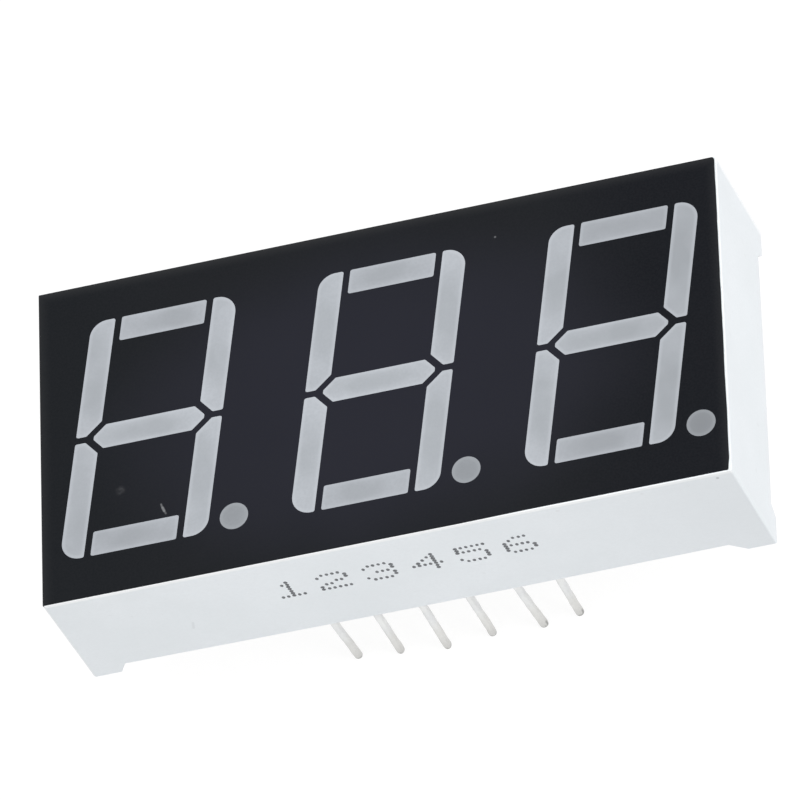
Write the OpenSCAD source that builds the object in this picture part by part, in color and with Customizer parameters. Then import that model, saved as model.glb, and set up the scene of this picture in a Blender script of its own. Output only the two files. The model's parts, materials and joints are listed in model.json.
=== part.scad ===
// Three-digit seven segment display with decimal points, for soldering into a circuit board.
// It stands face up: +Z leaves the face, +X runs along the digits and +Y runs up them.
// The origin is the centre of the footprint, on the tips of the feet. All sizes are millimetres.
// A white reflector moulding carries a black print and one epoxy light guide for each segment.
// A board with the light-emitting dice closes the guides, and potting seals the pins behind it.

/* [Housing] */
// How much shorter the housing is than its row of digit cells
end_trim = 0.56; // [0.2:0.02:1]
// Distance from a row of pins to the long side beside it
pin_margin = 1.92; // [1.6:0.01:3]
// Height from the tips of the feet to the printed face
body_h = 7.9; // [7.2:0.1:12]
// Thickness of the wall round the board
wall_t = 0.8; // [0.6:0.05:0.95]
// Radius of the upright corners
corner_r = 0.1; // [0.1:0.05:0.5]
// Radius of the edge round the printed face
edge_r = 0.06; // [0.04:0.01:0.1]
// Thickness of the black print
print_t = 0.05; // [0.02:0.01:0.1]

/* [Feet] */
// Height of the corner feet below the rim beside them
foot_h = 0.75; // [0.4:0.05:1]
// How far the rim bows down halfway between two feet
rim_bow = 0.1; // [0.02:0.02:0.14]
// Length of a foot's tip along each wall, from the corner
foot_l = 1.55; // [1:0.05:3]
// Run of the slope on the inner side of a foot
foot_slope = 0.45; // [0.2:0.05:1]
// Run of the gentler slope of the right feet along the long walls
foot_slope_right = 0.85; // [0.2:0.05:2]

/* [Digits] */
// Height of a digit over its top and bottom segments
digit_h = 14.2; // [10:0.1:20]
// Width of a digit, measured before the slant
digit_w = 8.15; // [7:0.05:10]
// Space from the side of one digit to the next, less the slant
digit_space = 4.55; // [4.2:0.05:8]
// Slant of the digits, in degrees from upright
slant = 8; // [0:0.5:10]
// Width of the upright segments
upright_w = 1.34; // [1:0.02:1.5]
// Width of the level segments
bar_w = 1.42; // [1:0.02:1.6]
// Gap between neighbouring segments
segment_gap = 0.37; // [0.2:0.01:0.5]
// Flat that the chamfer leaves at the middle end of an upright segment
upright_flat = 0.57; // [0.4:0.01:0.8]
// Height of the blunt tips of the middle segment
tip_h = 0.2; // [0.15:0.01:0.4]
// Radius of the four outer corners of a digit
digit_corner_r = 1; // [0.4:0.1:1.2]
// Radius of every other corner of a segment
segment_corner_r = 0.1; // [0.05:0.01:0.14]
// Diameter of a decimal point
point_d = 1.56; // [1.2:0.02:1.8]
// Gap between a decimal point and the side of its digit
point_gap = 0.62; // [0.3:0.01:0.8]
// Height of the decimal point's centre above the foot of the digit
point_rise = 0.69; // [0.6:0.01:1.5]

/* [Light guides] */
// Depth of the straight land behind the face, before a guide tapers
land_h = 0.3; // [0.1:0.05:1]
// Length of a guide's opening at the board
window_l = 2.2; // [1.4:0.1:3]
// Width of a guide's opening at the board, and diameter of a decimal point's
window_w = 1; // [1:0.05:1.15]

/* [Circuit board] */
// Thickness of the board
board_t = 1; // [0.6:0.1:1.2]
// Gap between the edge of the board and the wall
board_gap = 0.1; // [0.05:0.01:0.2]
// Thickness of the copper
copper_t = 0.035; // [0.018:0.001:0.07]
// Depth of the potting's surface inside the rim
potting_drop = 0.2; // [0.1:0.05:0.4]
// Thickness of the potting behind the board
potting_t = 1.25; // [0.6:0.05:2]

/* [Pins] */
// Distance from one pin to the next along a row
pin_pitch = 2.54; // [2:0.01:2.54]
// Distance from a row of pins to the nearest level segments
row_margin = 0.52; // [0.4:0.01:2]
// Diameter of a pin over its tin
pin_d = 0.5; // [0.4:0.01:0.55]
// Thickness of the tin that a pin is dipped in
tin_t = 0.02; // [0.01:0.005:0.03]
// Bare length of a pin between the potting and the tin
tin_gap = 0.3; // [0.15:0.05:0.4]
// Length of a pin beyond the feet
pin_l = 6.4; // [3:0.1:10]
// Length of a pin inside the reflector, above the board
pin_head = 0.7; // [0.5:0.05:0.9]
// Gap all round a pin in its hole in the board
hole_gap = 0.05; // [0.02:0.01:0.08]
// Width of the copper ring round a hole
ring_w = 0.15; // [0.1:0.01:0.16]
// Height of a solder joint
solder_h = 0.4; // [0.2:0.05:0.45]
// Gap all round a solder joint in its pocket in the reflector
pocket_gap = 0.05; // [0.03:0.01:0.08]
// Gap above the end of a pin in its pocket
pocket_head = 0.3; // [0.1:0.05:0.4]

/* [Light-emitting dice] */
// Side of a die
die_w = 0.28; // [0.2:0.01:0.34]
// Height of a die
die_h = 0.2; // [0.1:0.01:0.25]
// Side of the copper pad under a die
die_pad_w = 0.4; // [0.36:0.01:0.44]
// Side of the copper pad for the bond wire
bond_pad_w = 0.24; // [0.15:0.01:0.26]
// Distance from the die to the bond pad, which the wire spans
wire_span = 0.5; // [0.4:0.01:0.52]
// Diameter of a bond wire
wire_d = 0.03; // [0.02:0.005:0.05]

/* [Hidden] */
digit_count = 3;
pins_in_row = 6;
pin_count = 2 * pins_in_row;
SEGMENTS = ["a", "b", "c", "d", "e", "f", "g", "point"];

function window_name(digit, segment) =
    segment == "point" ? str("digit_", digit, "_decimal_point") : str("digit_", digit, "_segment_", segment);
function dice_name(digit) = str("digit_", digit, "_led_dice");
function wires_name(digit) = str("digit_", digit, "_bond_wires");
function pin_name(pin) = str("pin_", pin);

$fn = 32;
// Overlap of a cut with the space that it opens into
cut = 0.2;
// Longest chord of a rounded corner in an outline
chord = 0.12;
// Straight pieces in the bow of the rim
bow_steps = 12;

// Plan of the housing, which follows the digits and the pins
digit_pitch = digit_w + digit_space;
row_pitch = digit_h + 2 * row_margin;
body_l = digit_count * digit_pitch - end_trim;
body_w = row_pitch + 2 * pin_margin;

// Heights of the layers, from the tips of the feet
potting_bottom = foot_h + potting_drop;
board_bottom = potting_bottom + potting_t;
board_top = board_bottom + board_t;
guide_depth = body_h - board_top;
print_bottom = body_h - print_t;

// Lines that bound the segments of one digit before the slant
half_w = digit_w / 2;
half_h = digit_h / 2;
inner_x = half_w - upright_w;
inner_y = half_h - bar_w;
bar_x = inner_x - segment_gap;
end_y = segment_gap / 2;
upright_mitre = half_w - upright_flat + end_y;
middle_mitre = upright_mitre - segment_gap * sqrt(2);
upright_mid = [(half_w + inner_x) / 2, (half_h + end_y) / 2];
bar_mid = [0, half_h - bar_w / 2];

core_d = pin_d - 2 * tin_t;
hole_d = core_d + 2 * hole_gap;
ring_d = hole_d + 2 * ring_w;
pocket_d = ring_d + 2 * pocket_gap;
pocket_h = pin_head + pocket_head;
die_x = -wire_span / 2 + (die_pad_w - bond_pad_w) / 4;
bond_x = die_x + wire_span;

function slanted(p) = [p.x + p.y * tan(slant), p.y];
function unit(v) = v / norm(v);
function reversed(list) = [for (i = [len(list) - 1:-1:0]) list[i]];

// Arc that rounds the corner at b, between the corners a and c of an anticlockwise outline
function corner_arc(a, b, c, r) =
    let (
        to_a = unit(a - b),
        to_c = unit(c - b),
        half = acos(to_a * to_c) / 2,
        turn = 180 - 2 * half,
        centre = b + unit(to_a + to_c) * r / sin(half),
        start = b + to_a * r / tan(half) - centre,
        first = atan2(start.y, start.x),
        steps = max(2, ceil(turn * PI / 180 * r / chord))
    )
    [for (i = [0:steps]) centre + r * [cos(first + turn * i / steps), sin(first + turn * i / steps)]];

// Outline through anticlockwise corners, each given as [x, y, radius] before the slant
function rounded_outline(corners) =
    let (n = len(corners), p = [for (corner = corners) slanted(corner)])
    [for (i = [0:n - 1]) each corner_arc(p[(i + n - 1) % n], p[i], p[(i + 1) % n], corners[i].z)];

// Corners turned over the digit's centre lines, kept anticlockwise
function turned(corners, x_side, y_side) =
    let (moved = [for (corner = corners) [corner.x * x_side, corner.y * y_side, corner.z]])
    x_side * y_side > 0 ? moved : reversed(moved);

// Corners of the top segment
function bar_corners() =
    let (r = segment_corner_r)
    [[-bar_x, inner_y, r], [bar_x, inner_y, r], [bar_x, half_h, r], [-bar_x, half_h, r]];

// Corners of the upper right segment
function upright_corners() =
    let (r = segment_corner_r)
    [
        [upright_mitre - end_y, end_y, r],
        [half_w, end_y, r],
        [half_w, half_h, digit_corner_r],
        [inner_x, half_h, r],
        [inner_x, upright_mitre - inner_x, r]
    ];

// Corners of the middle segment
function middle_corners() =
    let (r = segment_corner_r, y = bar_w / 2, x = middle_mitre - y, tip = tip_h / 2, tip_x = middle_mitre - tip)
    [
        [-x, -y, r],
        [x, -y, r],
        [tip_x, -tip, r],
        [tip_x, tip, r],
        [x, y, r],
        [-x, y, r],
        [-tip_x, tip, r],
        [-tip_x, -tip, r]
    ];

// Side of the digit that a segment is on: -1 left or below, 1 right or above, 0 across the middle
function x_side(segment) =
    len(search(segment, "bc")) > 0 ? 1 : len(search(segment, "ef")) > 0 ? -1 : 0;
function y_side(segment) =
    len(search(segment, "abf")) > 0 ? 1 : len(search(segment, "cde")) > 0 ? -1 : 0;
function is_upright(segment) = x_side(segment) != 0;

function segment_corners(segment) =
    segment == "g" ? middle_corners()
    : is_upright(segment) ? turned(upright_corners(), x_side(segment), y_side(segment))
    : turned(bar_corners(), 1, y_side(segment));

function segment_outline(segment) = rounded_outline(segment_corners(segment));

// Centre of the decimal point, beside the slanted side of the digit
point_centre = let (y = -half_h + point_rise)
    [slanted([half_w, y]).x + point_gap + point_d / 2, y];

// Place of the die that lights a segment
function die_place(segment) =
    segment == "point" ? point_centre
    : segment == "g" ? [0, 0]
    : is_upright(segment) ? slanted([upright_mid.x * x_side(segment), upright_mid.y * y_side(segment)])
    : slanted([bar_mid.x, bar_mid.y * y_side(segment)]);

// Size of a segment before the slant, as [width, height]
function segment_size(segment) =
    segment == "g" ? [2 * middle_mitre - tip_h, bar_w]
    : is_upright(segment) ? [upright_w, half_h - end_y]
    : [2 * bar_x, bar_w];

// Size of its opening at the board
function window_size(segment) = is_upright(segment) ? [window_w, window_l] : [window_l, window_w];

// Point of a segment's outline, drawn in towards the die as far as the opening at the board
function toward_die(p, segment) =
    let (
        centre = die_place(segment),
        size = segment_size(segment),
        window = window_size(segment),
        y = p.y - centre.y,
        x = p.x - centre.x - y * tan(slant)
    )
    centre + slanted([x * window.x / size.x, y * window.y / size.y]);

function digit_x(digit) = (digit - (digit_count + 1) / 2) * digit_pitch;

// Pins count anticlockwise from the lower left, seen from the face
function pin_place(pin) =
    let (lower = pin <= pins_in_row, column = lower ? pin - 1 : pin_count - pin)
    [(column - (pins_in_row - 1) / 2) * pin_pitch, (lower ? -1 : 1) * row_pitch / 2];

module at_digit(digit) {
    translate([digit_x(digit), 0, 0]) children();
}

// Children placed at a segment's die, with +X along the segment
module at_die(segment) {
    translate(die_place(segment)) rotate(is_upright(segment) ? 90 - slant : 0) children();
}

module at_pins() {
    for (pin = [1:pin_count]) translate(pin_place(pin)) children();
}

module rounded_rectangle(length, width, r) {
    square([length - 2 * r, width], center = true);
    square([length, width - 2 * r], center = true);
    for (x = [-1, 1], y = [-1, 1])
        translate([x * (length / 2 - r), y * (width / 2 - r)]) circle(r);
}

module segment_shape(segment) {
    if (segment == "point")
        translate(point_centre) circle(d = point_d);
    else
        polygon(segment_outline(segment));
}

// Solid through rings of points that run anticlockwise, listed from the lowest to the highest
module loft(rings) {
    n = len(rings[0]);
    top = (len(rings) - 1) * n;
    polyhedron(
        points = [for (ring = rings) each ring],
        faces = concat(
            [[for (i = [0:n - 1]) i]],
            [
                for (ring = [0:n:top - n], i = [0:n - 1])
                    let (next = (i + 1) % n)
                    each [[ring + i, ring + n + i, ring + n + next], [ring + i, ring + n + next, ring + next]]
            ],
            [[for (i = [n - 1:-1:0]) top + i]]
        )
    );
}

// Space inside one reflector cavity, from the board to the face
module light_guide(segment) {
    taper_h = guide_depth - land_h;
    outline = segment_outline(segment);
    translate([0, 0, board_top])
        if (segment == "point")
            at_die(segment) {
                cylinder(d1 = window_w, d2 = point_d, h = taper_h);
                translate([0, 0, taper_h]) cylinder(d = point_d, h = land_h);
            }
        else
            loft([
                [for (p = outline) concat(toward_die(p, segment), 0)],
                [for (p = outline) concat(p, taper_h)],
                [for (p = outline) concat(p, guide_depth)]
            ]);
}

// One wall profile with its two top edges rounded, drawn with its foot at the origin
module wall_profile(width) {
    translate([-width / 2, 0]) square([width, print_bottom - edge_r]);
    translate([edge_r - width / 2, 0]) square([width - 2 * edge_r, print_bottom]);
    for (x = [-1, 1])
        translate([x * (width / 2 - edge_r), print_bottom - edge_r]) circle(edge_r);
}

module housing_block() {
    intersection() {
        linear_extrude(print_bottom) rounded_rectangle(body_l, body_w, corner_r);
        rotate([90, 0, 0]) linear_extrude(body_w, center = true) wall_profile(body_l);
        rotate([90, 0, 90]) linear_extrude(body_l, center = true) wall_profile(body_w);
    }
}

// Notch that raises the rim between the feet of two opposite walls, with the run of its slope at each end
module rim_notch(length, depth, low_run, high_run) {
    tip = length / 2 - foot_l;
    low_x = low_run - tip;
    high_x = tip - high_run;
    rotate([90, 0, 0])
        linear_extrude(depth, center = true)
            polygon([
                [-tip - low_run * cut / foot_h, -cut],
                [tip + high_run * cut / foot_h, -cut],
                for (i = [bow_steps:-1:0])
                    let (part = i / bow_steps)
                    [low_x + (high_x - low_x) * part, foot_h - rim_bow * sin(180 * part)]
            ]);
}

module board_recess(height) {
    linear_extrude(height)
        rounded_rectangle(body_l - 2 * wall_t, body_w - 2 * wall_t, corner_r + board_gap);
}

module reflector_housing() {
    color("#eef1f4")
        difference() {
            housing_block();
            rim_notch(body_l, body_w + 2 * cut, foot_slope, foot_slope_right);
            rotate(90) rim_notch(body_w, body_l + 2 * cut, foot_slope, foot_slope);
            translate([0, 0, -cut]) board_recess(board_top + cut);
            translate([0, 0, board_top - cut]) at_pins() cylinder(d = pocket_d, h = pocket_h + cut);
            for (digit = [1:digit_count], segment = SEGMENTS)
                at_digit(digit) light_guide(segment);
        }
}

module face_print() {
    color("#26282d")
        translate([0, 0, print_bottom])
            linear_extrude(print_t)
                difference() {
                    rounded_rectangle(body_l - 2 * edge_r, body_w - 2 * edge_r, corner_r - edge_r / 2);
                    for (digit = [1:digit_count], segment = SEGMENTS)
                        at_digit(digit) segment_shape(segment);
                }
}

// Copper pads, die and wire of one segment, on the front of the board
module die_pads() {
    for (pad = [[die_x, die_pad_w], [bond_x, bond_pad_w]])
        translate([pad[0] - pad[1] / 2, -pad[1] / 2, 0]) cube([pad[1], pad[1], copper_t]);
}

module led_die() {
    translate([die_x - die_w / 2, -die_w / 2, copper_t]) cube([die_w, die_w, die_h]);
}

// Half-round loop off the top of the die, and a straight leg down to the bond pad
module bond_wire() {
    translate([die_x + wire_span / 2, 0, copper_t + die_h])
        rotate([90, 0, 0])
            rotate_extrude(angle = 180) translate([wire_span / 2, 0]) circle(d = wire_d);
    translate([bond_x, 0, copper_t]) cylinder(d = wire_d, h = die_h);
}

module at_board_front(segment) {
    translate([0, 0, board_top]) at_die(segment) children();
}

module segment_window(digit, segment) {
    color("#b4b8be")
        at_digit(digit)
            difference() {
                light_guide(segment);
                at_board_front(segment) {
                    die_pads();
                    led_die();
                    bond_wire();
                }
            }
}

module led_dice(digit) {
    color("#d9c27a")
        at_digit(digit)
            for (segment = SEGMENTS) at_board_front(segment) led_die();
}

module bond_wires(digit) {
    color("gold")
        at_digit(digit)
            for (segment = SEGMENTS) at_board_front(segment) bond_wire();
}

module circuit_board() {
    board_l = body_l - 2 * (wall_t + board_gap);
    board_w = body_w - 2 * (wall_t + board_gap);
    color("#c8b78a")
        translate([0, 0, board_bottom])
            linear_extrude(board_t)
                difference() {
                    rounded_rectangle(board_l, board_w, corner_r);
                    at_pins() circle(d = hole_d);
                }
}

module pin_rings() {
    linear_extrude(copper_t)
        at_pins()
            difference() {
                circle(d = ring_d);
                circle(d = hole_d);
            }
}

module copper_pads() {
    color("#c98a5a") {
        translate([0, 0, board_top]) pin_rings();
        translate([0, 0, board_bottom - copper_t]) pin_rings();
        for (digit = [1:digit_count], segment = SEGMENTS)
            at_digit(digit) at_board_front(segment) die_pads();
    }
}

module solder_joints() {
    color("silver")
        translate([0, 0, board_top + copper_t])
            at_pins()
                difference() {
                    cylinder(d1 = ring_d, d2 = (ring_d + core_d) / 2, h = solder_h);
                    translate([0, 0, -cut]) cylinder(d = core_d, h = solder_h + 2 * cut);
                }
}

module rear_potting() {
    color("#dfe0da")
        difference() {
            translate([0, 0, potting_bottom]) board_recess(board_bottom - potting_bottom);
            translate([0, 0, board_bottom - copper_t]) pin_rings();
            at_pins() cylinder(d = core_d, h = board_bottom + cut);
        }
}

// Pin with a round tip, tinned from just outside the potting
module pin(number) {
    tip_z = pin_d / 2 - pin_l;
    tin_top = potting_bottom - tin_gap;
    color("#d6d4cc")
        translate(pin_place(number)) {
            translate([0, 0, tip_z]) {
                sphere(d = pin_d);
                cylinder(d = pin_d, h = tin_top - tip_z);
            }
            translate([0, 0, tin_top]) cylinder(d = core_d, h = board_top + pin_head - tin_top);
        }
}

reflector_housing();
face_print();
circuit_board();
copper_pads();
solder_joints();
rear_potting();
for (digit = [1:digit_count]) {
    for (segment = SEGMENTS)
        segment_window(digit, segment);
    led_dice(digit);
    bond_wires(digit);
}
for (number = [1:pin_count])
    pin(number);
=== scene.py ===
import json
import math

import bmesh
import bpy
from mathutils import Matrix, Vector, noise


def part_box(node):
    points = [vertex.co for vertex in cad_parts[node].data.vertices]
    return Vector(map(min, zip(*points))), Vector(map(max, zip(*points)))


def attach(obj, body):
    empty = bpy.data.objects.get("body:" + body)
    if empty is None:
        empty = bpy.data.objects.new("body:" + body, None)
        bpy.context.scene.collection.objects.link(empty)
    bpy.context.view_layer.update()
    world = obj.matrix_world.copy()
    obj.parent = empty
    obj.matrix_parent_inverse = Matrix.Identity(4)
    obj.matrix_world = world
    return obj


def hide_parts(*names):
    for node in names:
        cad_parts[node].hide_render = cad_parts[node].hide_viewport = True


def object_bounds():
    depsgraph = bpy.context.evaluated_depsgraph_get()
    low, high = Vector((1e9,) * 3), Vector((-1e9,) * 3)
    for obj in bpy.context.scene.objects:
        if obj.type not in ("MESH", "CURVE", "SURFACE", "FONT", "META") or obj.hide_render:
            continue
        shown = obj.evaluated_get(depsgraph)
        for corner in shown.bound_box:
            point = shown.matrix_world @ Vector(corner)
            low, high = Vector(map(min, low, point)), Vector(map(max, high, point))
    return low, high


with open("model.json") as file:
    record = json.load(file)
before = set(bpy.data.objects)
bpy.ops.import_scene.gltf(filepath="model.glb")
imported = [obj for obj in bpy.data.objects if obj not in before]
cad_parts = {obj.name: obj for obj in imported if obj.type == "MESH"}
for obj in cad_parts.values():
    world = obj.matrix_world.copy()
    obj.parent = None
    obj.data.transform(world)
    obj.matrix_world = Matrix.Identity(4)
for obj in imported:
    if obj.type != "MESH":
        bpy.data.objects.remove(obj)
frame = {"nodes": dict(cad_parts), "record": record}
cad_box = [list(corner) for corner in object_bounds()]

MM = 0.001
BODY = "root"

# Noise vectors start from the clock unless they have a seed
NOISE_SEED = 5
noise.seed_set(NOISE_SEED)

# The part's right end, near and far long walls, face and pin tips, in millimetres
END_X = round(cad_box[1][0] / MM, 3)
NEAR_Y = round(cad_box[0][1] / MM, 3)
FAR_Y = round(cad_box[1][1] / MM, 3)
FACE_Z = round(cad_box[1][2] / MM, 3)
PIN_TIP = round(cad_box[0][2] / MM, 3)

# Camera: a pinhole fitted to the photograph, in the part's own frame
CAMERA_AT = Vector((153.922, -306.804, 483.198)) * MM
CAMERA_RIGHT = Vector((0.946302, -0.027792, -0.322086))
CAMERA_DOWN = Vector((-0.190632, -0.852620, -0.486516))
CAMERA_AHEAD = Vector((-0.261096, 0.521792, -0.812134))
SENSOR = 36.0
LENS = 507.98


def placed(name, data):
    """A new object in the scene."""
    made = bpy.data.objects.new(name, data)
    bpy.context.scene.collection.objects.link(made)
    return made


def make_camera():
    data = bpy.data.cameras.new("camera")
    data.sensor_width = SENSOR
    data.lens = LENS
    data.clip_start = 0.01
    data.clip_end = 10.0
    camera = placed("camera", data)
    turn = Matrix((CAMERA_RIGHT, -CAMERA_DOWN, -CAMERA_AHEAD)).transposed().to_4x4()
    camera.matrix_world = Matrix.Translation(CAMERA_AT) @ turn
    bpy.context.scene.camera = camera


# Sockets of the Mix node when it mixes colours
MIX_FACTOR = 0
MIX_A = 6
MIX_B = 7
MIX_RESULT = 2
# Most values of a noise texture lie between these two
NOISE_LOW = 0.3
NOISE_HIGH = 0.7


def rgba(colour):
    """A colour with full alpha, or the socket that gives one."""
    return colour if isinstance(colour, bpy.types.NodeSocket) else (*colour, 1.0)


def scaled(colour, factor):
    return tuple(channel * factor for channel in colour)


class Paint:
    """A Principled material whose texture coordinates are the part's own millimetres."""

    def __init__(self, name):
        self.material = bpy.data.materials.new(name)
        self.material.use_nodes = True
        self.tree = self.material.node_tree
        self.shader = self.tree.nodes["Principled BSDF"]
        where = self.tree.nodes.new("ShaderNodeTexCoord")
        scale = self.node("ShaderNodeVectorMath", operation="SCALE")
        self.tree.links.new(where.outputs["Object"], scale.inputs[0])
        scale.inputs["Scale"].default_value = 1.0 / MM
        self.mm = scale.outputs[0]
        self.normal = None

    def node(self, kind, **settings):
        made = self.tree.nodes.new(kind)
        for key, value in settings.items():
            setattr(made, key, value)
        return made

    def feed(self, socket, value):
        if isinstance(value, bpy.types.NodeSocket):
            self.tree.links.new(value, socket)
        elif value is not None:
            socket.default_value = value

    def set(self, **inputs):
        """Give the shader's sockets, named with _ for each space, a plain value or a link."""
        for key, value in inputs.items():
            self.feed(self.shader.inputs[key.replace("_", " ")], value)

    def places(self):
        """Sockets of x, y and z in the part's own millimetres."""
        split = self.node("ShaderNodeSeparateXYZ")
        self.feed(split.inputs[0], self.mm)
        return tuple(split.outputs)

    def math(self, operation, a, b=None, c=None, clamp=False):
        made = self.node("ShaderNodeMath", operation=operation, use_clamp=clamp)
        for socket, value in zip(made.inputs, (a, b, c)):
            self.feed(socket, value)
        return made.outputs[0]

    def remap(self, value, low, high, to_low=0.0, to_high=1.0, smooth=False):
        made = self.node("ShaderNodeMapRange", clamp=True)
        if smooth:
            made.interpolation_type = "SMOOTHSTEP"
        for key, number in (("Value", value), ("From Min", low), ("From Max", high),
                            ("To Min", to_low), ("To Max", to_high)):
            self.feed(made.inputs[key], number)
        return made.outputs["Result"]

    def mix(self, factor, a, b, blend="MIX"):
        made = self.node("ShaderNodeMix", data_type="RGBA", blend_type=blend)
        made.clamp_factor = True
        self.feed(made.inputs[MIX_FACTOR], factor)
        self.feed(made.inputs[MIX_A], rgba(a))
        self.feed(made.inputs[MIX_B], rgba(b))
        return made.outputs[MIX_RESULT]

    def touch(self, base, mask, share, colour):
        """The base with a share of another colour where the mask is 1."""
        return self.mix(self.math("MULTIPLY", mask, share), base, colour)

    def veil(self, base, value, low, high, share, colour, smooth=False):
        """The base with up to a share of another colour, as the value goes from low to high."""
        return self.mix(self.remap(value, low, high, 0.0, share, smooth), base, colour)

    def spread(self, clouds, to_low=0.0, to_high=1.0):
        """Noise stretched from where most of its values lie to a new range."""
        return self.remap(clouds, NOISE_LOW, NOISE_HIGH, to_low, to_high)

    def stretched(self, factors):
        """The part's millimetres, scaled by a factor along each axis."""
        made = self.node("ShaderNodeMapping")
        self.feed(made.inputs["Vector"], self.mm)
        made.inputs["Scale"].default_value = factors
        return made.outputs[0]

    def cloud(self, size_mm, detail=2.0, rough=0.5, vector=None, distort=0.0):
        """Noise from 0 to 1 whose features are about size_mm across."""
        made = self.node("ShaderNodeTexNoise")
        self.feed(made.inputs["Vector"], vector if vector is not None else self.mm)
        made.inputs["Scale"].default_value = 1.0 / size_mm
        made.inputs["Detail"].default_value = detail
        made.inputs["Roughness"].default_value = rough
        made.inputs["Distortion"].default_value = distort
        return made.outputs["Fac"]

    def painted_end_shade(self, base, left_mm, fall):
        """The base darkened by painted shade towards both ends of the housing, from a line left of its
        middle.
        """
        off = self.math("ADD", self.places()[0], left_mm)
        shade = self.math("MULTIPLY_ADD", self.math("MULTIPLY", off, off), fall, 1.0)
        grey = self.node("ShaderNodeCombineColor")
        for channel in grey.inputs:
            self.feed(channel, shade)
        return self.mix(1.0, base, grey.outputs[0], "MULTIPLY")

    def towards(self, place, side, start, full, most=1.0, smooth=False):
        """0 up to a start distance inside a side of the part, and most from a lesser distance on."""
        inward = 1 if side < 0 else -1
        return self.remap(place, side + inward * start, side + inward * full, 0.0, most, smooth)

    def spot(self, centre, radius, soft):
        """1 inside a ball round a point of the part, fading to 0 over the soft distance."""
        made = self.node("ShaderNodeVectorMath", operation="DISTANCE")
        self.feed(made.inputs[0], self.mm)
        made.inputs[1].default_value = centre
        return self.remap(made.outputs["Value"], radius + soft, radius, smooth=True)

    def outside(self, centre, half, radius, waver):
        """1 outside a rounded rectangle on the face, whose edge wavers a little."""
        waver_size = 1.3
        soft = 0.012
        squares = []
        for place, middle, reach in zip(self.places(), centre, half):
            away = self.math("ABSOLUTE", self.math("SUBTRACT", place, middle))
            past = self.math("MAXIMUM", self.math("SUBTRACT", away, reach - radius), 0.0)
            squares.append(self.math("MULTIPLY", past, past))
        gap = self.math("SUBTRACT", self.math("SQRT", self.math("ADD", *squares)), radius)
        noisy = self.math("SUBTRACT", self.cloud(waver_size, detail=1.0), 0.5)
        sway = self.math("MULTIPLY", noisy, waver)
        return self.remap(self.math("ADD", gap, sway), -soft, soft)

    def stroke(self, start, end, width, soft):
        """1 on a straight scratch between two points of the part, with a soft edge."""
        run = Vector(end) - Vector(start)
        ahead = run.normalized()
        away = self.node("ShaderNodeVectorMath", operation="SUBTRACT")
        self.feed(away.inputs[0], self.mm)
        away.inputs[1].default_value = Vector(start)
        along = self.node("ShaderNodeVectorMath", operation="DOT_PRODUCT")
        self.feed(along.inputs[0], away.outputs[0])
        along.inputs[1].default_value = ahead
        held = self.remap(along.outputs["Value"], 0.0, run.length, 0.0, run.length)
        back = self.node("ShaderNodeVectorMath", operation="SCALE")
        back.inputs[0].default_value = ahead
        self.feed(back.inputs["Scale"], held)
        gap = self.node("ShaderNodeVectorMath", operation="DISTANCE")
        self.feed(gap.inputs[0], away.outputs[0])
        self.feed(gap.inputs[1], back.outputs[0])
        return self.remap(gap.outputs["Value"], width / 2 + soft, width / 2, smooth=True)

    def bump(self, height, strength, depth_mm):
        """Grain in the surface, on top of any that was given before."""
        made = self.node("ShaderNodeBump")
        self.feed(made.inputs["Height"], height)
        made.inputs["Strength"].default_value = strength
        made.inputs["Distance"].default_value = depth_mm * MM
        if self.normal is not None:
            self.feed(made.inputs["Normal"], self.normal)
        self.normal = made.outputs["Normal"]
        self.feed(self.shader.inputs["Normal"], self.normal)


# White plastic of the housing
PLASTIC_LIGHT = (0.866, 0.903, 0.934)
PLASTIC_CLOUD = (0.830, 0.869, 0.897)
PLASTIC_GRAIN = (0.800, 0.835, 0.862)
# Painted shade round the near right corner
PLASTIC_PAINTED_SHADE = (0.752, 0.785, 0.815)
# Painted highlight on the rounded top edges and two vertical corners
PLASTIC_HIGHLIGHT = (0.965, 0.980, 0.990)
# The same plastic where it is seen past the ink
PLASTIC_BARE = (0.80, 0.84, 0.86)
SPECK_GREY = (0.45, 0.45, 0.44)
DIRT_GREY = (0.30, 0.31, 0.32)
MARK_GREY = (0.30, 0.31, 0.34)

# Black ink of the print, with a painted bluish sheen in its middle and painted shade at its ends,
# darkest at its right end
INK_PLAIN = (0.0088, 0.0100, 0.0123)
INK_LEFT_SHADE = (0.0072, 0.0086, 0.0108)
INK_RIGHT_SHADE = (0.0047, 0.0057, 0.0083)
INK_SHEEN = (0.0156, 0.0162, 0.0242)
INK_GRAIN = (0.018, 0.019, 0.022)
INK_THIN = (0.12, 0.12, 0.12)
INK_OVERRUN = (0.0100, 0.0107, 0.0138)
SMUDGE_GREY = (0.20, 0.20, 0.21)
SCRATCH_GREY = (0.34, 0.35, 0.36)
DUST_GREY = (0.40, 0.41, 0.43)
# Start and end in x and y, width and share of each stroke of the scratch on the print
SCRATCH = (
    ((-12.11, -4.83), (-12.06, -5.00), 0.02, 0.34),
    ((-12.03, -5.06), (-11.95, -5.26), 0.06, 0.46),
    ((-11.92, -5.32), (-11.86, -5.44), 0.02, 0.26),
)
# How far inside the housing's sides the print ends, and the ink near its rim starts to thin
PRINT_INSET = 0.06
THIN_START = 0.71
# Middle and half sizes of the ellipse of the painted bluish sheen
SHEEN_MIDDLE = (-0.5, -0.8)
SHEEN_HALF = (15.0, 9.5)


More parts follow.
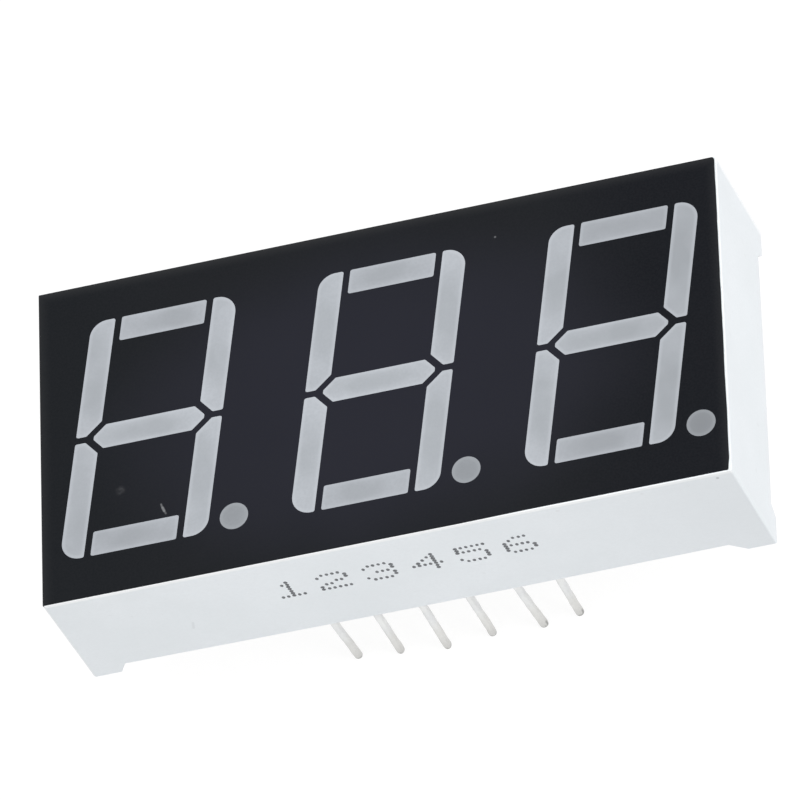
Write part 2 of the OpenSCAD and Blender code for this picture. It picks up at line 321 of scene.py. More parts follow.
def painted_edge_highlight(p):
    """Share of the painted highlight: a bright line under the face, widest on the near wall, and down
    two corners.
    """
    x, y, z = p.places()
    near = p.towards(y, NEAR_Y, start=0.04, full=0.01)
    # The line's lower edge is 0.16 below the face, or 0.29 on the near wall
    low = p.math("MULTIPLY_ADD", near, -0.13, FACE_Z - 0.16)
    rise = p.remap(p.math("SUBTRACT", z, low), -0.06, 0.06, smooth=True)
    under_face = p.math("MULTIPLY", rise, p.math("MULTIPLY_ADD", near, 0.80, 0.15))
    right = p.towards(x, END_X, start=0.17, full=0.07)
    far = p.towards(y, FAR_Y, start=0.44, full=0.18, most=0.75, smooth=True)
    far_corner = p.math("MULTIPLY", right, far)
    left_corner = p.math("MULTIPLY", near, p.towards(x, -END_X, start=0.13, full=0.05))
    return p.math("MAXIMUM", under_face, p.math("MAXIMUM", far_corner, left_corner))


def overrun(p):
    """1 where ink ran over the rounded top edge: fully on the left and behind, partly in front."""
    x, y, z = p.places()
    left = p.towards(x, -END_X, start=0.11, full=0.07)
    far = p.towards(y, FAR_Y, start=0.10, full=0.07)
    near = p.towards(y, NEAR_Y, start=0.10, full=0.07)
    # Behind it ends before the right corner, and in front it fades out right of the middle
    behind = p.math("MULTIPLY", far, p.remap(x, 18.5, 18.3))
    front = p.math("MULTIPLY", near, p.remap(x, 9.0, 4.0))
    partly = p.math("MULTIPLY", front, 0.30)
    reach = p.math("MAXIMUM", p.math("MAXIMUM", left, behind), partly)
    # Full ink reaches 0.075 further down the rounding than none
    low = p.math("MULTIPLY_ADD", reach, -0.075, FACE_Z - 0.042)
    return p.remap(p.math("SUBTRACT", z, low), -0.006, 0.006)


def white_moulding():
    """Satin white plastic with spark-eroded grain, faint flow clouds and a few grey specks, with
    painted shade towards its ends and at one corner and a painted highlight on its edges.
    """
    p = Paint("white_moulding")
    clouds = p.cloud(5.0, detail=3.0)
    grain = p.cloud(0.16, detail=2.0, rough=0.6)
    base = p.mix(p.remap(clouds, 0.35, 0.65), PLASTIC_CLOUD, PLASTIC_LIGHT)
    base = p.veil(base, grain, NOISE_LOW, NOISE_HIGH, 0.35, PLASTIC_GRAIN)
    base = p.veil(base, p.cloud(0.5, detail=0.0), 0.80, 0.86, 0.12, SPECK_GREY)
    # Painted shade, darker towards both ends of the housing
    base = p.painted_end_shade(base, left_mm=4.0, fall=-0.00010)
    # Painted highlight along the top edges and down two corners
    base = p.mix(painted_edge_highlight(p), base, PLASTIC_HIGHLIGHT)
    # Painted shade round the near right corner of the housing
    corner = p.spot((END_X, NEAR_Y, 4.0), radius=1.5, soft=9.0)
    base = p.touch(base, corner, 0.36, PLASTIC_PAINTED_SHADE)
    dirt = p.spot((17.85, NEAR_Y, 7.36), radius=0.05, soft=0.07)
    base = p.touch(base, dirt, 0.5, DIRT_GREY)
    mark = p.stroke((-12.05, NEAR_Y, 3.42), (-12.20, NEAR_Y, 2.88), width=0.06, soft=0.08)
    base = p.touch(base, mark, 0.14, MARK_GREY)
    base = p.mix(overrun(p), base, INK_OVERRUN)
    p.set(Base_Color=base, Roughness=p.spread(grain, 0.44, 0.54), Specular_IOR_Level=0.4)
    p.bump(grain, strength=0.25, depth_mm=0.006)
    p.bump(clouds, strength=0.10, depth_mm=0.05)
    return p.material


def thin_rim(p, x, y):
    """How much the white below shows through the ink near its rim: most on the far side."""
    thin = 0.0
    for place, side, share in ((y, FAR_Y, 0.13), (x, -END_X, 0.08), (x, END_X, 0.09)):
        near = p.math("POWER", p.towards(place, side, THIN_START, PRINT_INSET), 1.5)
        thin = p.math("MAXIMUM", thin, p.math("MULTIPLY", near, share))
    return thin


def painted_blue_sheen(p, x, y, drift):
    """Share of the painted bluish sheen: 1 in the middle of the print, fading out unevenly towards the
    rim of an ellipse.
    """
    squares = []
    for place, middle, half in zip((x, y), SHEEN_MIDDLE, SHEEN_HALF):
        share = p.math("DIVIDE", p.math("ADD", place, -middle), half)
        squares.append(p.math("MULTIPLY", share, share))
    uneven = p.math("ADD", p.math("ADD", *squares), p.math("MULTIPLY", drift, 0.5))
    return p.remap(uneven, 0.25, 1.6, 1.0, 0.0, smooth=True)


def black_print():
    """Screen-printed satin ink: mesh grain, a painted bluish sheen, painted shade at its ends, small
    marks and an uneven rim.
    """
    p = Paint("black_print")
    x, y, _ = p.places()
    drift = p.cloud(7.0, detail=2.0)
    # Painted shade, darker towards both ends of the print
    ends = p.mix(p.remap(x, -16.5, -10.0, smooth=True), INK_LEFT_SHADE, INK_PLAIN)
    ends = p.mix(p.remap(x, 7.0, 16.0, smooth=True), ends, INK_RIGHT_SHADE)
    # Painted bluish sheen in the middle of the print
    base = p.mix(painted_blue_sheen(p, x, y, drift), ends, INK_SHEEN)
    grain = p.cloud(0.11, detail=1.0)
    base = p.veil(base, grain, 0.35, 0.65, 0.20, INK_GRAIN)
    patches = p.remap(p.cloud(0.30), NOISE_LOW, 0.6)
    smudge = p.spot((-14.34, -3.50, FACE_Z), radius=0.05, soft=0.30)
    base = p.touch(base, p.math("MULTIPLY", smudge, patches), 0.16, SMUDGE_GREY)
    for start, end, width, share in SCRATCH:
        scratch = p.stroke((*start, FACE_Z), (*end, FACE_Z), width, soft=0.07)
        base = p.touch(base, scratch, share, SCRATCH_GREY)
    dust = p.spot((6.61, 7.31, FACE_Z), radius=0.02, soft=0.07)
    base = p.touch(base, dust, 0.28, DUST_GREY)
    # Only the right side and the right corners of this rectangle lie on the print
    uneven = p.outside((-1.02, -0.015), (19.70, 9.525), radius=0.26, waver=0.05)
    base = p.mix(uneven, base, PLASTIC_BARE)
    base = p.mix(thin_rim(p, x, y), base, INK_THIN)
    # A ball so large that it takes a long thin sliver off the lower right corner
    worn_corner = p.spot((23.9, -9.7, FACE_Z), radius=5.28, soft=0.02)
    base = p.mix(worn_corner, base, PLASTIC_BARE)
    p.set(Base_Color=base, Roughness=p.spread(drift, 0.50, 0.60), Specular_IOR_Level=0.06)
    p.bump(grain, strength=0.30, depth_mm=0.004)
    return p.material


# Dark and light grey of the cloudy epoxy in most segments, in the outer bars and in the points
EPOXIES = {
    "segment_epoxy": ((0.348, 0.370, 0.398), (0.428, 0.452, 0.488)),
    "bar_epoxy": ((0.314, 0.333, 0.360), (0.382, 0.404, 0.438)),
    "point_epoxy": ((0.240, 0.256, 0.276), (0.268, 0.285, 0.307)),
}


def epoxy(name, dark, light):
    """Diffused epoxy under a matt skin: clouds of filler, painted shade in its middle and towards the
    housing's ends, and a painted highlight on its rim, as lit by the wall.
    """
    p = Paint(name)
    clouds = p.cloud(2.6, detail=2.0, distort=0.4)
    grain = p.cloud(0.14, detail=1.0)
    from_middle = p.node("ShaderNodeVectorMath", operation="DISTANCE")
    where = p.node("ShaderNodeTexCoord")
    p.feed(from_middle.inputs[0], where.outputs["Generated"])
    from_middle.inputs[1].default_value = (0.5, 0.5, 1.0)
    # Painted shade in the middle of each segment
    heart = p.remap(from_middle.outputs["Value"], 0.10, 0.50, 0.60, 0.0, smooth=True)
    lightness = p.math("SUBTRACT", p.remap(clouds, 0.32, 0.68, 0.30, 1.0), heart, clamp=True)
    # Painted shade towards both ends of the housing
    base = p.painted_end_shade(p.mix(lightness, dark, light), left_mm=3.0, fall=-0.00048)
    base = p.veil(base, grain, NOISE_LOW, NOISE_HIGH, 0.22, scaled(dark, 0.86))
    # Painted highlight on the rim of each segment, where the wall lights it through the epoxy
    edge = p.node("ShaderNodeAmbientOcclusion", inside=True, only_local=True, samples=24)
    edge.inputs["Distance"].default_value = 0.28 * MM
    base = p.veil(base, edge.outputs["AO"], 0.96, 0.70, 0.25, scaled(light, 1.22))
    p.set(Base_Color=base, Roughness=p.spread(grain, 0.42, 0.52), Specular_IOR_Level=0.35)
    p.bump(grain, strength=0.18, depth_mm=0.003)
    p.bump(clouds, strength=0.15, depth_mm=0.03)
    return p.material


POTTING_DULL = (0.72, 0.72, 0.68)
POTTING_MILKY = (0.79, 0.785, 0.75)
POTTING_PIT = (0.42, 0.41, 0.36)


def potting():
    """Cast milky epoxy: glossy, slightly wavy, with cloudy filler and a few pits."""
    p = Paint("potting")
    clouds = p.cloud(3.2, detail=4.0, distort=0.8)
    waves = p.cloud(2.0, detail=1.0)
    pits = p.cloud(0.35, detail=0.0)
    base = p.mix(p.spread(clouds), POTTING_DULL, POTTING_MILKY)
    base = p.veil(base, pits, 0.76, 0.84, 0.3, POTTING_PIT)
    p.set(Base_Color=base, Roughness=p.spread(clouds, 0.16, 0.28))
    p.bump(waves, strength=0.35, depth_mm=0.06)
    return p.material


RESIN = (0.42, 0.36, 0.17)
GLASS_THREAD = (0.62, 0.55, 0.30)


def laminate():
    """Glass-cloth laminate: warp and weft under resin."""
    p = Paint("board_laminate")
    warp = p.node("ShaderNodeTexWave", bands_direction="X")
    weft = p.node("ShaderNodeTexWave", bands_direction="Y")
    for wave in (warp, weft):
        p.feed(wave.inputs["Vector"], p.mm)
        wave.inputs["Scale"].default_value = 0.8
        wave.inputs["Distortion"].default_value = 0.4
    weave = p.math("MULTIPLY", warp.outputs["Fac"], weft.outputs["Fac"])
    base = p.mix(weave, RESIN, GLASS_THREAD)
    p.set(Base_Color=base, Roughness=0.42)
    p.bump(weave, strength=0.2, depth_mm=0.01)
    return p.material


# Dark and light colour, roughness, size of the grain and its stretch along each axis
METALS = {
    "copper": ((0.58, 0.30, 0.17), (0.76, 0.45, 0.28), 0.36, 0.05, (1, 1, 1)),
    "solder": ((0.52, 0.53, 0.54), (0.70, 0.71, 0.72), 0.28, 0.10, (1, 1, 1)),
    "gold_wire": ((0.72, 0.50, 0.12), (0.88, 0.66, 0.22), 0.22, 0.03, (1, 1, 4)),
}


def metal(name, dark, light, rough, grain_mm, stretch):
    """Metal with brushed or cast grain and a cloudy surface film."""
    p = Paint(name)
    grain = p.cloud(grain_mm, detail=3.0, vector=p.stretched(stretch))
    film = p.cloud(grain_mm * 6, detail=2.0)
    base = p.mix(p.spread(film), dark, light)
    p.set(Base_Color=base, Roughness=p.spread(grain, rough - 0.06, rough + 0.08), Metallic=1.0)
    p.bump(grain, strength=0.2, depth_mm=0.004)
    return p.material


TIN_DULL = (0.770, 0.778, 0.785)
TIN_BRIGHT = (0.835, 0.842, 0.835)
TIN_DRAWN = (0.69, 0.695, 0.685)
TIN_WARM = (0.718, 0.713, 0.692)
TIN_LOW = (0.625, 0.620, 0.605)
SHEARED_GREY = (0.24, 0.24, 0.235)


def tinned():
    """Solder-dipped pin: dull tin drawn down its length, warmer low down, with a sheared end."""
    p = Paint("tinned_pin")
    _, _, height = p.places()
    drawn = p.cloud(0.22, detail=2.0, vector=p.stretched((1, 1, 0.12)))
    lumps = p.cloud(0.8, detail=1.0)
    torn = p.cloud(0.17, detail=2.0)
    base = p.mix(p.spread(lumps), TIN_DULL, TIN_BRIGHT)
    base = p.veil(base, drawn, 0.5, 0.75, 0.35, TIN_DRAWN)
    base = p.veil(base, height, PIN_TIP + 3.0, PIN_TIP + 1.4, 0.75, TIN_WARM, smooth=True)
    base = p.veil(base, height, PIN_TIP + 1.3, PIN_TIP + 0.2, 0.8, TIN_LOW, smooth=True)
    cut = p.remap(height, PIN_TIP + 0.35, PIN_TIP + 0.10, smooth=True)
    sheared = p.math("MULTIPLY", cut, p.remap(torn, 0.42, 0.60))
    base = p.touch(base, sheared, 0.7, SHEARED_GREY)
    for number in CUT_MARKS:
        top = pin_centre(number, PIN_TIP + 0.45) + Vector((0.22, -0.09, 0))
        low = pin_centre(number, PIN_TIP + 0.07) + Vector((0.19, -0.09, 0))
        base = p.touch(base, p.stroke(top, low, width=0.05, soft=0.08), 0.6, SHEARED_GREY)
    p.set(Base_Color=base, Roughness=p.spread(drawn, 0.44, 0.58), Metallic=1.0)
    p.bump(drawn, strength=0.3, depth_mm=0.006)
    p.bump(lumps, strength=0.25, depth_mm=0.05)
    return p.material


JET_DARK = (0.110, 0.117, 0.126)
JET_LIGHT = (0.190, 0.198, 0.210)


def jet_ink():
    """Dark grey jet ink, patchy within each dot."""
    p = Paint("marking_ink")
    patchy = p.cloud(0.12, detail=1.0)
    base = p.mix(p.spread(patchy), JET_DARK, JET_LIGHT)
    p.set(Base_Color=base, Roughness=0.6)
    p.bump(patchy, strength=0.2, depth_mm=0.003)
    return p.material


DIE_DARK = (0.42, 0.34, 0.10)
DIE_LIGHT = (0.62, 0.52, 0.18)


def die_chip():
    """Sawn semiconductor die with a gold contact cast."""
    p = Paint("led_die")
    saw = p.cloud(0.05, detail=1.0, vector=p.stretched((1, 1, 6)))
    base = p.mix(p.spread(saw), DIE_DARK, DIE_LIGHT)
    p.set(Base_Color=base, Roughness=0.3)
    p.bump(saw, strength=0.2, depth_mm=0.002)
    return p.material


def make_materials():
    """Every finish by its name, most of them the record's material slots."""
    made = {
        "white_moulding": white_moulding(),
        "black_print": black_print(),
        "board_laminate": laminate(),
        "potting": potting(),
        "led_die": die_chip(),
        "tinned_pin": tinned(),
        "marking_ink": jet_ink(),
    }
    for name, greys in EPOXIES.items():
        made[name] = epoxy(name, *greys)
    for name, values in METALS.items():
        made[name] = metal(name, *values)
    return made


def dress_nodes(materials):
    """Each CAD node takes its record's slot, the points and the outer bars their own darker epoxy."""
    slots = {part["node"]: part["material_slot"] for part in frame["record"]["subparts"]}
    darker = {"decimal_point": "point_epoxy", "segment_a": "bar_epoxy", "segment_d": "bar_epoxy"}
    for name, node in frame["nodes"].items():
        kind = name.split("_", 2)[2] if name.startswith("digit_") else name
        paint = materials[darker.get(kind, slots[name])]
        node.data.materials.clear()
        node.data.materials.append(paint)


# Pieces
def piece(name, mesh, material):
    """A new piece of the part that rides on its body and takes a slot's finish."""
    made = placed(name, mesh)
    mesh.materials.append(material)
    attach(made, BODY)
    return made


def bridge(mesh, low, high):
    """Faces between two closed rings of as many vertices."""
    n = len(low)
    for i in range(n):
        mesh.faces.new((low[i], low[(i + 1) % n], high[(i + 1) % n], high[i]))


def finished(mesh, name):
    """The mesh as data for a piece, with its faces turned out and smooth."""
    bmesh.ops.recalc_face_normals(mesh, faces=mesh.faces)
    data = bpy.data.meshes.new(name)
    mesh.to_mesh(data)
    mesh.free()
    for face in data.polygons:
        face.use_smooth = True
    return data


PINS_IN_ROW = 6
PIN_PITCH = 2.54
ROW_HALF = 7.62
PIN_TOP = 3.9
# The tin starts here, just below the potting, a little proud of the core
TIN_TOP = 0.65
TIN_LIP = 0.008
CORE_RADIUS = 0.23
ROOT_RADIUS = 0.222
# Height at which the bend of a pin's middle was measured
BEND_Z = -2.4
# Share of a pin's bend along y that comes late, towards the tip
LATE_BEND = 0.45
# Offsets in x and y of each pin's tip, and in x of its middle: the near row's as in the photograph
PIN_BENDS = {
    1: (0.17, 0.135, 0.10), 2: (-0.03, -0.07, 0.00), 3: (0.02, -0.33, 0.005),
    4: (0.00, -0.095, 0.01), 5: (0.30, -0.16, 0.125), 6: (-0.26, 0.125, -0.135),
    7: (0.05, 0.06, 0.03), 8: (-0.07, 0.12, -0.04), 9: (0.09, -0.05, 0.06),
    10: (-0.04, 0.16, -0.02), 11: (0.06, 0.03, 0.05), 12: (-0.08, -0.06, -0.05),
}
# Pins whose tip shows a dark mark of the cutter on its right
CUT_MARKS = (5, 6)
# Radius of each pin's tip, where the solder gathered and the cutter spread it
TIP_RADII = {
    1: 0.238, 2: 0.222, 3: 0.232, 4: 0.228, 5: 0.250, 6: 0.240,
    7: 0.232, 8: 0.240, 9: 0.228, 10: 0.236, 11: 0.246, 12: 0.230,
}
# Sides of a round mesh, rings down the tinned length, and rings of the tip's dome
ROUND_SIDES = 28
TIN_RINGS = 44
DOME_RINGS = 9
DOME_TALL = 0.24
# Below 1 the dome is squarer than a ball
DOME_POWER = 0.45
# Bevel at the hidden top of the core, as its depth and height, and height of the tin's lip
TOP_BEVEL = 0.04
TOP_BEVEL_TALL = 0.05
TIN_LIP_TALL = 0.02
# How much the tinned radius waves, and how fast round a ring, down the pin and from pin to pin
WAVE_DEPTH = 0.11
WAVE_ROUND = 0.7
WAVE_DOWN = 1.3
WAVE_PLACE = 0.37


def pin_centre(number, z):
    """Centre line of a pin, bent outside the potting only."""
    near = number <= PINS_IN_ROW
    column = number - 1 if near else 2 * PINS_IN_ROW - number
    x = (column - (PINS_IN_ROW - 1) / 2) * PIN_PITCH
    base = Vector((x, -ROW_HALF if near else ROW_HALF, z))
    if z > TIN_TOP:
        return base
    tip_x, tip_y, middle_x = PIN_BENDS[number]
    run = (TIN_TOP - z) / (TIN_TOP - PIN_TIP)
    middle = (TIN_TOP - BEND_Z) / (TIN_TOP - PIN_TIP)
    # A quadratic through the root, the measured middle and the tip
    lean = (middle_x - tip_x * middle) / (middle * (middle - 1))
    aside = tip_x * run + lean * run * (run - 1)
    forth = tip_y * run * (1 - LATE_BEND + LATE_BEND * run)
    return base + Vector((aside, forth, 0))


def ring(mesh, centre, radius, wave_depth):
    """A level ring of vertices round a point, its radius waved a little by noise."""
    made = []
    for i in range(ROUND_SIDES):
        a = 2 * math.pi * i / ROUND_SIDES
        out = Vector((math.cos(a), math.sin(a), 0.0))
        place = Vector((out.x * WAVE_ROUND, out.y * WAVE_ROUND, centre.z * WAVE_DOWN))
        wave = 1.0 + wave_depth * noise.noise(place + centre * WAVE_PLACE)
        made.append(mesh.verts.new((centre + out * radius * wave) * MM))
    return made


def pin_profile(tip_radius):
    """Height and radius of each ring down a pin: its core, the tin and the domed tip."""
    rows = [
        (PIN_TOP, CORE_RADIUS - TOP_BEVEL),
        (PIN_TOP - TOP_BEVEL_TALL, CORE_RADIUS),
        (TIN_TOP + TIN_LIP_TALL, CORE_RADIUS),
        (TIN_TOP, CORE_RADIUS + TIN_LIP),
    ]
    shoulder = PIN_TIP + DOME_TALL
    for i in range(1, TIN_RINGS + 1):
        z = TIN_TOP + (shoulder - TIN_TOP) * i / TIN_RINGS
        swell = (i / TIN_RINGS) ** 3
        rows.append((z, ROOT_RADIUS + (tip_radius - ROOT_RADIUS) * swell))
    for i in range(1, DOME_RINGS):
        a = math.pi / 2 * i / DOME_RINGS
        z = shoulder - (shoulder - PIN_TIP) * math.sin(a)
        rows.append((z, tip_radius * math.cos(a) ** DOME_POWER))
    return rows


def make_pin(number, material):
    """A bent, unevenly tinned pin on the centre line of the straight one that it replaces."""
    mesh = bmesh.new()
    rings = []
    for z, radius in pin_profile(TIP_RADII[number]):
        wave_depth = WAVE_DEPTH if z < TIN_TOP else 0.0
        rings.append(ring(mesh, pin_centre(number, z), radius, wave_depth))
    for upper, lower in zip(rings, rings[1:]):
        bridge(mesh, lower, upper)
    top = mesh.verts.new(pin_centre(number, PIN_TOP) * MM)
    tip = mesh.verts.new(pin_centre(number, PIN_TIP) * MM)
    for i in range(ROUND_SIDES):
        after = (i + 1) % ROUND_SIDES
        mesh.faces.new((rings[0][i], rings[0][after], top))
        mesh.faces.new((rings[-1][after], rings[-1][i], tip))
    made = piece(f"tinned_pin_{number}", finished(mesh, f"tinned_pin_{number}"), material)
    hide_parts(f"pin_{number}")


# Heights that the cast epoxy climbs on the walls and on the pins, and how fast it falls away from them
WALL_CLIMB = 0.15
PIN_CLIMB = 0.11
CLIMB_FALL = 0.26
CLIMB_STEPS = (0.0, 0.05, 0.11, 0.19, 0.30, 0.45, 0.64, 0.88)
# How much its height varies, and how fast and in which slice of the noise it does
CLIMB_WAVE = 0.25
CLIMB_RATE = 0.6
CLIMB_SLICE = 2.0
# How deep the fillet is closed inside the potting
CLIMB_ROOT = 0.03
# Radius of the recess's corners, points round each, and spacing of the points between them
RECESS_RADIUS = 0.2
CORNER_POINTS = 4
EDGE_SPACING = 0.7


def recess_outline(half_x, half_y):
    """Points along the recess that holds the board and the potting."""
    points = []
    for quarter in range(4):
        turn = Matrix.Rotation(quarter * math.pi / 2, 2)
        across, along = (half_x, half_y) if quarter % 2 == 0 else (half_y, half_x)
        corner = Vector((across - RECESS_RADIUS, along - RECESS_RADIUS))
        straight = int(2 * (along - RECESS_RADIUS) / EDGE_SPACING)
        for i in range(straight):
            points.append(turn @ Vector((across, -corner.y + 2 * corner.y * i / straight)))
        for i in range(CORNER_POINTS):
            a = math.pi / 2 / CORNER_POINTS * i
            points.append(turn @ (corner + RECESS_RADIUS * Vector((math.cos(a), math.sin(a)))))
    return points


def meniscus(mesh, outlines, climb, level):
    """A fillet of epoxy: a ring of points for each step from what it climbs, closed in the potting."""
    rings = []
    for step, points in zip(CLIMB_STEPS, outlines):
        made = []
        for x, y in points:
            place = Vector((x * CLIMB_RATE, y * CLIMB_RATE, CLIMB_SLICE))
            wet = climb * (1 + CLIMB_WAVE * noise.noise(place))
            drop = wet * (math.exp(-step / CLIMB_FALL) - math.exp(-CLIMB_STEPS[-1] / CLIMB_FALL))
            made.append(mesh.verts.new(Vector((x, y, level - drop)) * MM))
        rings.append(made)
    feather = rings[-1]
    for points in (outlines[-1], outlines[0]):
        rings.append([mesh.verts.new(Vector((x, y, level + CLIMB_ROOT)) * MM) for x, y in points])
    for one, other in zip(rings, rings[1:] + rings[:1]):
        bridge(mesh, one, other)
    for vertex, after in zip(feather, feather[1:] + feather[:1]):
        mesh.edges.get((vertex, after)).smooth = False


def make_meniscus(material):
    """The epoxy's edge on the recess walls and its collars round the pins."""
    low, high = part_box("rear_potting")
    half_x, half_y, level = high[0] / MM, high[1] / MM, low[2] / MM
    mesh = bmesh.new()
    wall = recess_outline(half_x, half_y)
    shrunk = []
    for step in CLIMB_STEPS:
        shrunk.append([(x * (half_x - step) / half_x, y * (half_y - step) / half_y) for x, y in wall])
    meniscus(mesh, shrunk, WALL_CLIMB, level)
    turns = [2 * math.pi * i / ROUND_SIDES for i in range(ROUND_SIDES)]
    for number in PIN_BENDS:
        at = pin_centre(number, level)
        collar = []
        for step in CLIMB_STEPS:
            reach = CORE_RADIUS + step
            collar.append([(at.x + reach * math.cos(a), at.y + reach * math.sin(a)) for a in turns])
        meniscus(mesh, collar, PIN_CLIMB, level)
    piece("potting_meniscus", finished(mesh, "potting_meniscus"), material)


# Plain pin numbers, six columns by seven rows of dots each
DOT_COLUMNS = 6
DOT_ROWS = {
    1: ("...#..", "..##..", "...#..", "...#..", "...#..", "...#..", ".#####"),
    2: (".####.", "#....#", ".....#", "...##.", ".##...", "#.....", "######"),
    3: (".####.", "#....#", ".....#", "..###.", ".....#", "#....#", ".####."),
    4: ("....#.", "...##.", "..#.#.", ".#..#.", "######", "....#.", "....#."),
    5: ("######", "#.....", "#####.", ".....#", ".....#", "#....#", ".####."),
    6: ("..###.", ".#....", "#.....", "#####.", "#....#", "#....#", ".####."),
}
# Distance from dot to dot across and down
DOT_ACROSS = 0.30
DOT_DOWN = 0.232
# Half the width and half the height of a dot, tall enough to run into the next below
DOT_WIDE = 0.100
DOT_TALL = 0.135
# Dots in a column run together and spread sideways by this factor
DOT_SPREAD = 1.25
DOT_THICK = 0.006
DOT_SUNK = 0.002
DOT_SIDES = 14
# Share of its outline that a dot's crown has, and how much and how fast the outline waves
CROWN_SHARE = 0.7
DOT_WAVE = 0.10
DOT_RATE = 9
# How far a dot may stray across and up, and how much its size and thickness may differ
STRAY_ACROSS = 0.02
STRAY_UP = 0.012
SIZE_WAVE = 0.12
THICK_WAVE = 0.3
THICK_MIDDLE = 0.9
# Steps through the noise from number to number, row to row and column to column
NUMBER_STEP = 7.1
ROW_STEP = 3.3
COLUMN_STEP = 5.7
NUMBER_TOP = 5.66


def inked(rows):
    """Row and column of each dot of a number, and whether one above or below runs into it."""
    for r, row in enumerate(rows):
        for c, cell in enumerate(row):
            if cell == "#":
                above = r > 0 and rows[r - 1][c] == "#"
                below = r < len(rows) - 1 and rows[r + 1][c] == "#"
                yield r, c, above or below


def add_dot(mesh, x, z, wide, size, thick):
    """A thin lens of ink on the long wall, its outline waved a little."""
    rim = []
    crown = []
    for i in range(DOT_SIDES):
        a = 2 * math.pi * i / DOT_SIDES
        wave = size * (1 + DOT_WAVE * noise.noise(Vector((x * DOT_RATE, z * DOT_RATE, a))))
        u = math.cos(a) * wide * wave
        v = math.sin(a) * DOT_TALL * wave
        rim.append(mesh.verts.new(Vector((x + u, NEAR_Y + DOT_SUNK, z + v)) * MM))
        top = Vector((x + u * CROWN_SHARE, NEAR_Y - thick, z + v * CROWN_SHARE))
        crown.append(mesh.verts.new(top * MM))
    bridge(mesh, rim, crown)
    mesh.faces.new(crown)
    mesh.faces.new(rim[::-1])


def make_pin_numbers(material):
    """Jet-printed dots on the long wall, each a thin lens that differs a little from the next."""
    mesh = bmesh.new()
    for number, rows in DOT_ROWS.items():
        middle = (number - (PINS_IN_ROW + 1) / 2) * PIN_PITCH
        for r, c, joined in inked(rows):
            wide = DOT_WIDE * (DOT_SPREAD if joined else 1.0)
            place = Vector((number * NUMBER_STEP, r * ROW_STEP, c * COLUMN_STEP))
            stray = noise.noise_vector(place)
            x = middle + (c - (DOT_COLUMNS - 1) / 2) * DOT_ACROSS + stray.x * STRAY_ACROSS
            z = NUMBER_TOP - DOT_TALL - r * DOT_DOWN + stray.y * STRAY_UP
            size = 1 + SIZE_WAVE * stray.z
            thick = DOT_THICK * (THICK_MIDDLE + THICK_WAVE * stray.y)
            add_dot(mesh, x, z, wide, size, thick)
    piece("pin_numbers", finished(mesh, "pin_numbers"), material)


# Floor, world and lamps
FLOOR_GAP = 0.01
FLOOR_Z = (PIN_TIP - FLOOR_GAP) * MM
FLOOR_HALF = 1.2
# How the floor looks: its own white, and the grey on top of it that takes the shadow
FLOOR_GLOW = 0.90
FLOOR_SHADE = 0.15
# The grey that it throws back on the object
FLOOR_GREY = 0.62
# The world's strength on the object, and as it is seen
WORLD_LIGHT = 0.64
WORLD_SEEN = 1.0
# Name, place, size and power of each lamp
LAMPS = (
    ("key", (0.55, -0.22, 0.42), 0.45, 2.5),
    ("fill", (-0.30, -0.55, 0.40), 0.50, 0.4),
    ("top", (-0.05, 0.10, 0.70), 0.40, 1.5),
)


def light_path(tree):
    """1 for camera, glossy and transmission rays, and 0 for the rays that light the object."""
    path = tree.nodes.new("ShaderNodeLightPath")
    total = path.outputs["Is Camera Ray"]
    for name in ("Is Glossy Ray", "Is Transmission Ray"):
        both = tree.nodes.new("ShaderNodeMath")
        both.operation = "MAXIMUM"
        tree.links.new(total, both.inputs[0])
        tree.links.new(path.outputs[name], both.inputs[1])
        total = both.outputs[0]
    return total


def diffuse(tree, grey):
    made = tree.nodes.new("ShaderNodeBsdfDiffuse")
    made.inputs["Color"].default_value = (grey, grey, grey, 1)
    return made.outputs[0]


def mix_shaders(tree, factor, first, second):
    made = tree.nodes.new("ShaderNodeMixShader")
    for socket, source in zip(made.inputs, (factor, first, second)):
        tree.links.new(source, socket)
    return made.outputs[0]


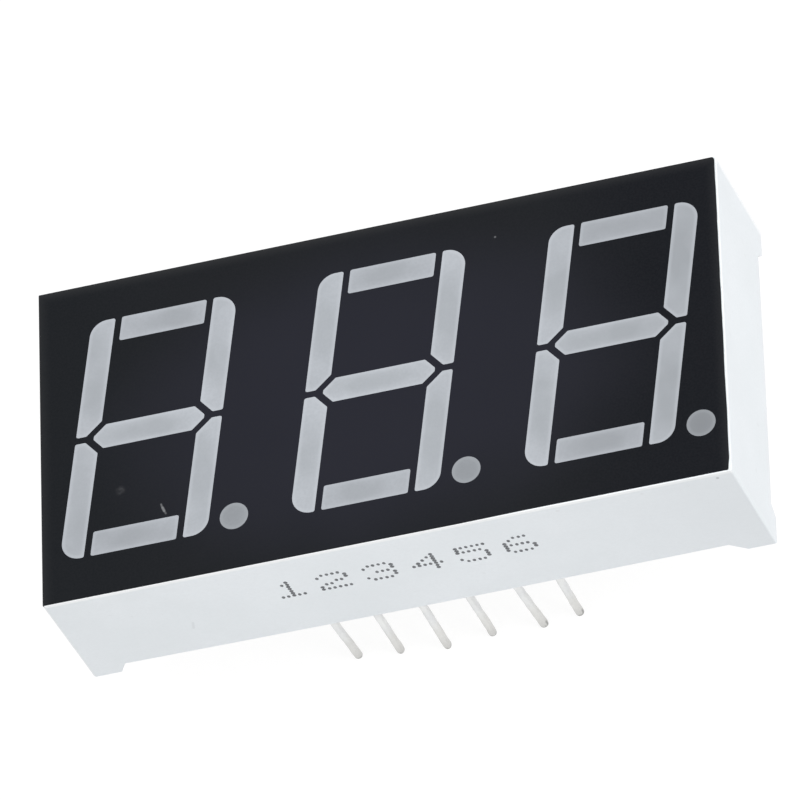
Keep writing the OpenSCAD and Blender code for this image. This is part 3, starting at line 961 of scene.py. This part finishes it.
def floor_material():
    """White with a soft shadow as it is seen, grey for the light that it throws back."""
    material = bpy.data.materials.new("floor")
    material.use_nodes = True
    tree = material.node_tree
    tree.nodes.clear()
    glow = tree.nodes.new("ShaderNodeEmission")
    glow.inputs["Color"].default_value = (1, 1, 1, 1)
    glow.inputs["Strength"].default_value = FLOOR_GLOW
    seen = tree.nodes.new("ShaderNodeAddShader")
    tree.links.new(glow.outputs[0], seen.inputs[0])
    tree.links.new(diffuse(tree, FLOOR_SHADE), seen.inputs[1])
    top = mix_shaders(tree, light_path(tree), diffuse(tree, FLOOR_GREY), seen.outputs[0])
    # From below the floor is clear, so that the pins and the potting can be looked at
    side = tree.nodes.new("ShaderNodeNewGeometry")
    clear = tree.nodes.new("ShaderNodeBsdfTransparent")
    both = mix_shaders(tree, side.outputs["Backfacing"], top, clear.outputs[0])
    out = tree.nodes.new("ShaderNodeOutputMaterial")
    tree.links.new(both, out.inputs["Surface"])
    return material


def make_floor():
    mesh = bmesh.new()
    corners = []
    for x, y in ((-1, -1), (1, -1), (1, 1), (-1, 1)):
        corners.append(mesh.verts.new((x * FLOOR_HALF, y * FLOOR_HALF, FLOOR_Z)))
    mesh.faces.new(corners)
    data = bpy.data.meshes.new("floor")
    mesh.to_mesh(data)
    mesh.free()
    data.materials.append(floor_material())
    floor = placed("floor", data)


def make_world():
    world = bpy.data.worlds.new("world")
    bpy.context.scene.world = world
    world.use_nodes = True
    tree = world.node_tree
    background = tree.nodes["Background"]
    background.inputs["Color"].default_value = (1, 1, 1, 1)
    strength = tree.nodes.new("ShaderNodeMapRange")
    tree.links.new(light_path(tree), strength.inputs["Value"])
    strength.inputs["To Min"].default_value = WORLD_LIGHT
    strength.inputs["To Max"].default_value = WORLD_SEEN
    tree.links.new(strength.outputs["Result"], background.inputs["Strength"])


def make_lamp(name, at, size, power):
    """A large soft lamp aimed at the middle of the part."""
    data = bpy.data.lights.new(name, "AREA")
    data.shape = "DISK"
    data.size = size
    data.energy = power
    lamp = placed(name, data)
    lamp.location = Vector(at)
    lamp.rotation_mode = "QUATERNION"
    lamp.rotation_quaternion = (-lamp.location).to_track_quat("-Z", "Y")


make_camera()
materials = make_materials()
dress_nodes(materials)
for pin in PIN_BENDS:
    make_pin(pin, materials["tinned_pin"])
make_meniscus(materials["potting"])
make_pin_numbers(materials["marking_ink"])
make_floor()
make_world()
for lamp in LAMPS:
    make_lamp(*lamp)
bpy.context.scene.view_settings.view_transform = "Standard"
